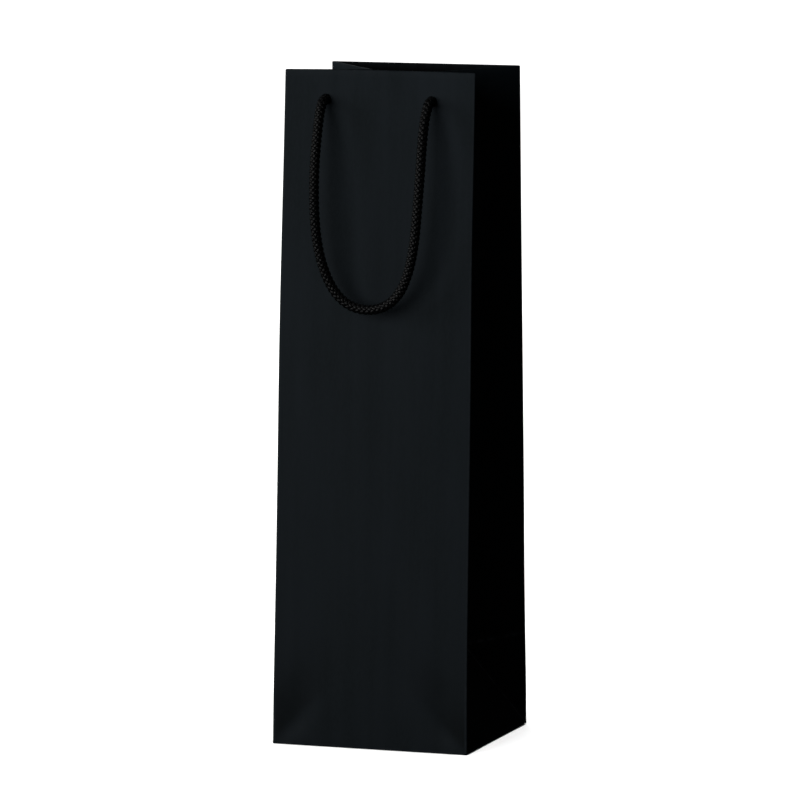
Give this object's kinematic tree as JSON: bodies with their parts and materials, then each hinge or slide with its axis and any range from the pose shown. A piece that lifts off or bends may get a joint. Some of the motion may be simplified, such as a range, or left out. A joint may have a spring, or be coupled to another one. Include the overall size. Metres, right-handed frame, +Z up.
{
  "type": "wine gift bag",
  "caption": "Tall single-bottle paper carrier bag with pinched side gussets, a flat block bottom, a turned-in top and a braided rope handle at the front.",
  "frame": {"origin": "middle of the flat base, on the surface that the bag stands on", "axes": "+Z up towards the mouth, the front panel faces -Y, +X to its right"},
  "size_m": [0.1084, 0.1149, 0.36],
  "materials": {
    "paper": "matte",
    "card": "matte",
    "cord": "matte"
  },
  "bodies": {
    "bag": {"front_panel": "paper", "back_panel": "paper", "right_gusset_front": "paper", "right_gusset_back": "paper", "left_gusset_front": "paper", "left_gusset_back": "paper", "side_seam_flap": "paper", "front_hem": "paper", "back_hem": "paper", "right_gusset_hem_front": "paper", "right_gusset_hem_back": "paper", "left_gusset_hem_front": "paper", "left_gusset_hem_back": "paper", "front_top_card": "card", "back_top_card": "card", "front_bottom_flap": "paper", "back_bottom_flap": "paper", "left_bottom_tuck": "paper", "right_bottom_tuck": "paper", "base_board": "card", "front_left_cord_end": "cord", "front_right_cord_end": "cord", "front_left_knot": "cord", "front_right_knot": "cord"},
    "front_handle": {"front_handle_cord": "cord"}
  },
  "joints": [
    {"name": "front_handle_swing", "type": "hinge", "parent": "bag", "child": "front_handle", "pos_m": [0, -0.05064, 0.343], "axis": [-1, 0, 0], "range_deg": [0, 190]}
  ]
}
